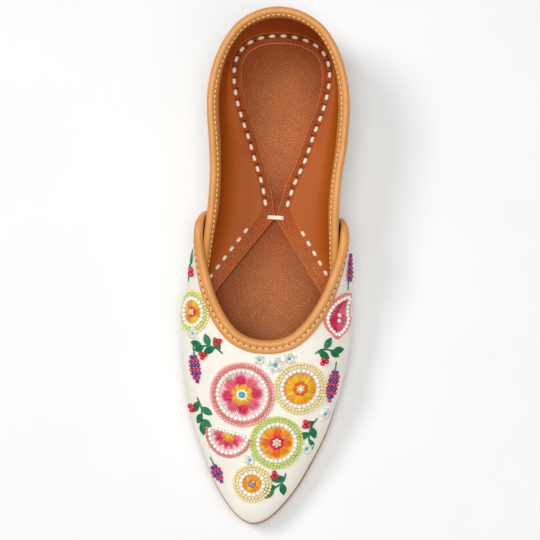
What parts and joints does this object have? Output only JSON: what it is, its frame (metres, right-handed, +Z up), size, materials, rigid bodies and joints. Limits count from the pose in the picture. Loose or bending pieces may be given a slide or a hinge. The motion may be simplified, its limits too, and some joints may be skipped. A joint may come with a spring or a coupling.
{
  "type": "mojari shoe",
  "caption": "Slip-on leather mojari with a pointed toe, bound throat and collar, stitched insole band and a flat sole with a low heel; hollow and open for a foot.",
  "frame": {"origin": "on the floor under the middle of the shoe's bounding box", "axes": "+Y towards the heel, toe along -Y, +X to the right with the toe towards the viewer, +Z up"},
  "size_m": [0.0834, 0.248, 0.0567],
  "materials": {
    "upper_leather": "off-white, smooth, satin",
    "binding_leather": "tan, smooth, satin",
    "footbed_leather": "brown, fine grain, satin",
    "sole_leather": "tan brown, matte"
  },
  "bodies": {
    "root": {"outsole": "sole_leather", "insole": "footbed_leather", "insole_band": "footbed_leather", "upper": "upper_leather", "collar_binding": "binding_leather", "throat_binding": "binding_leather"}
  },
  "joints": []
}
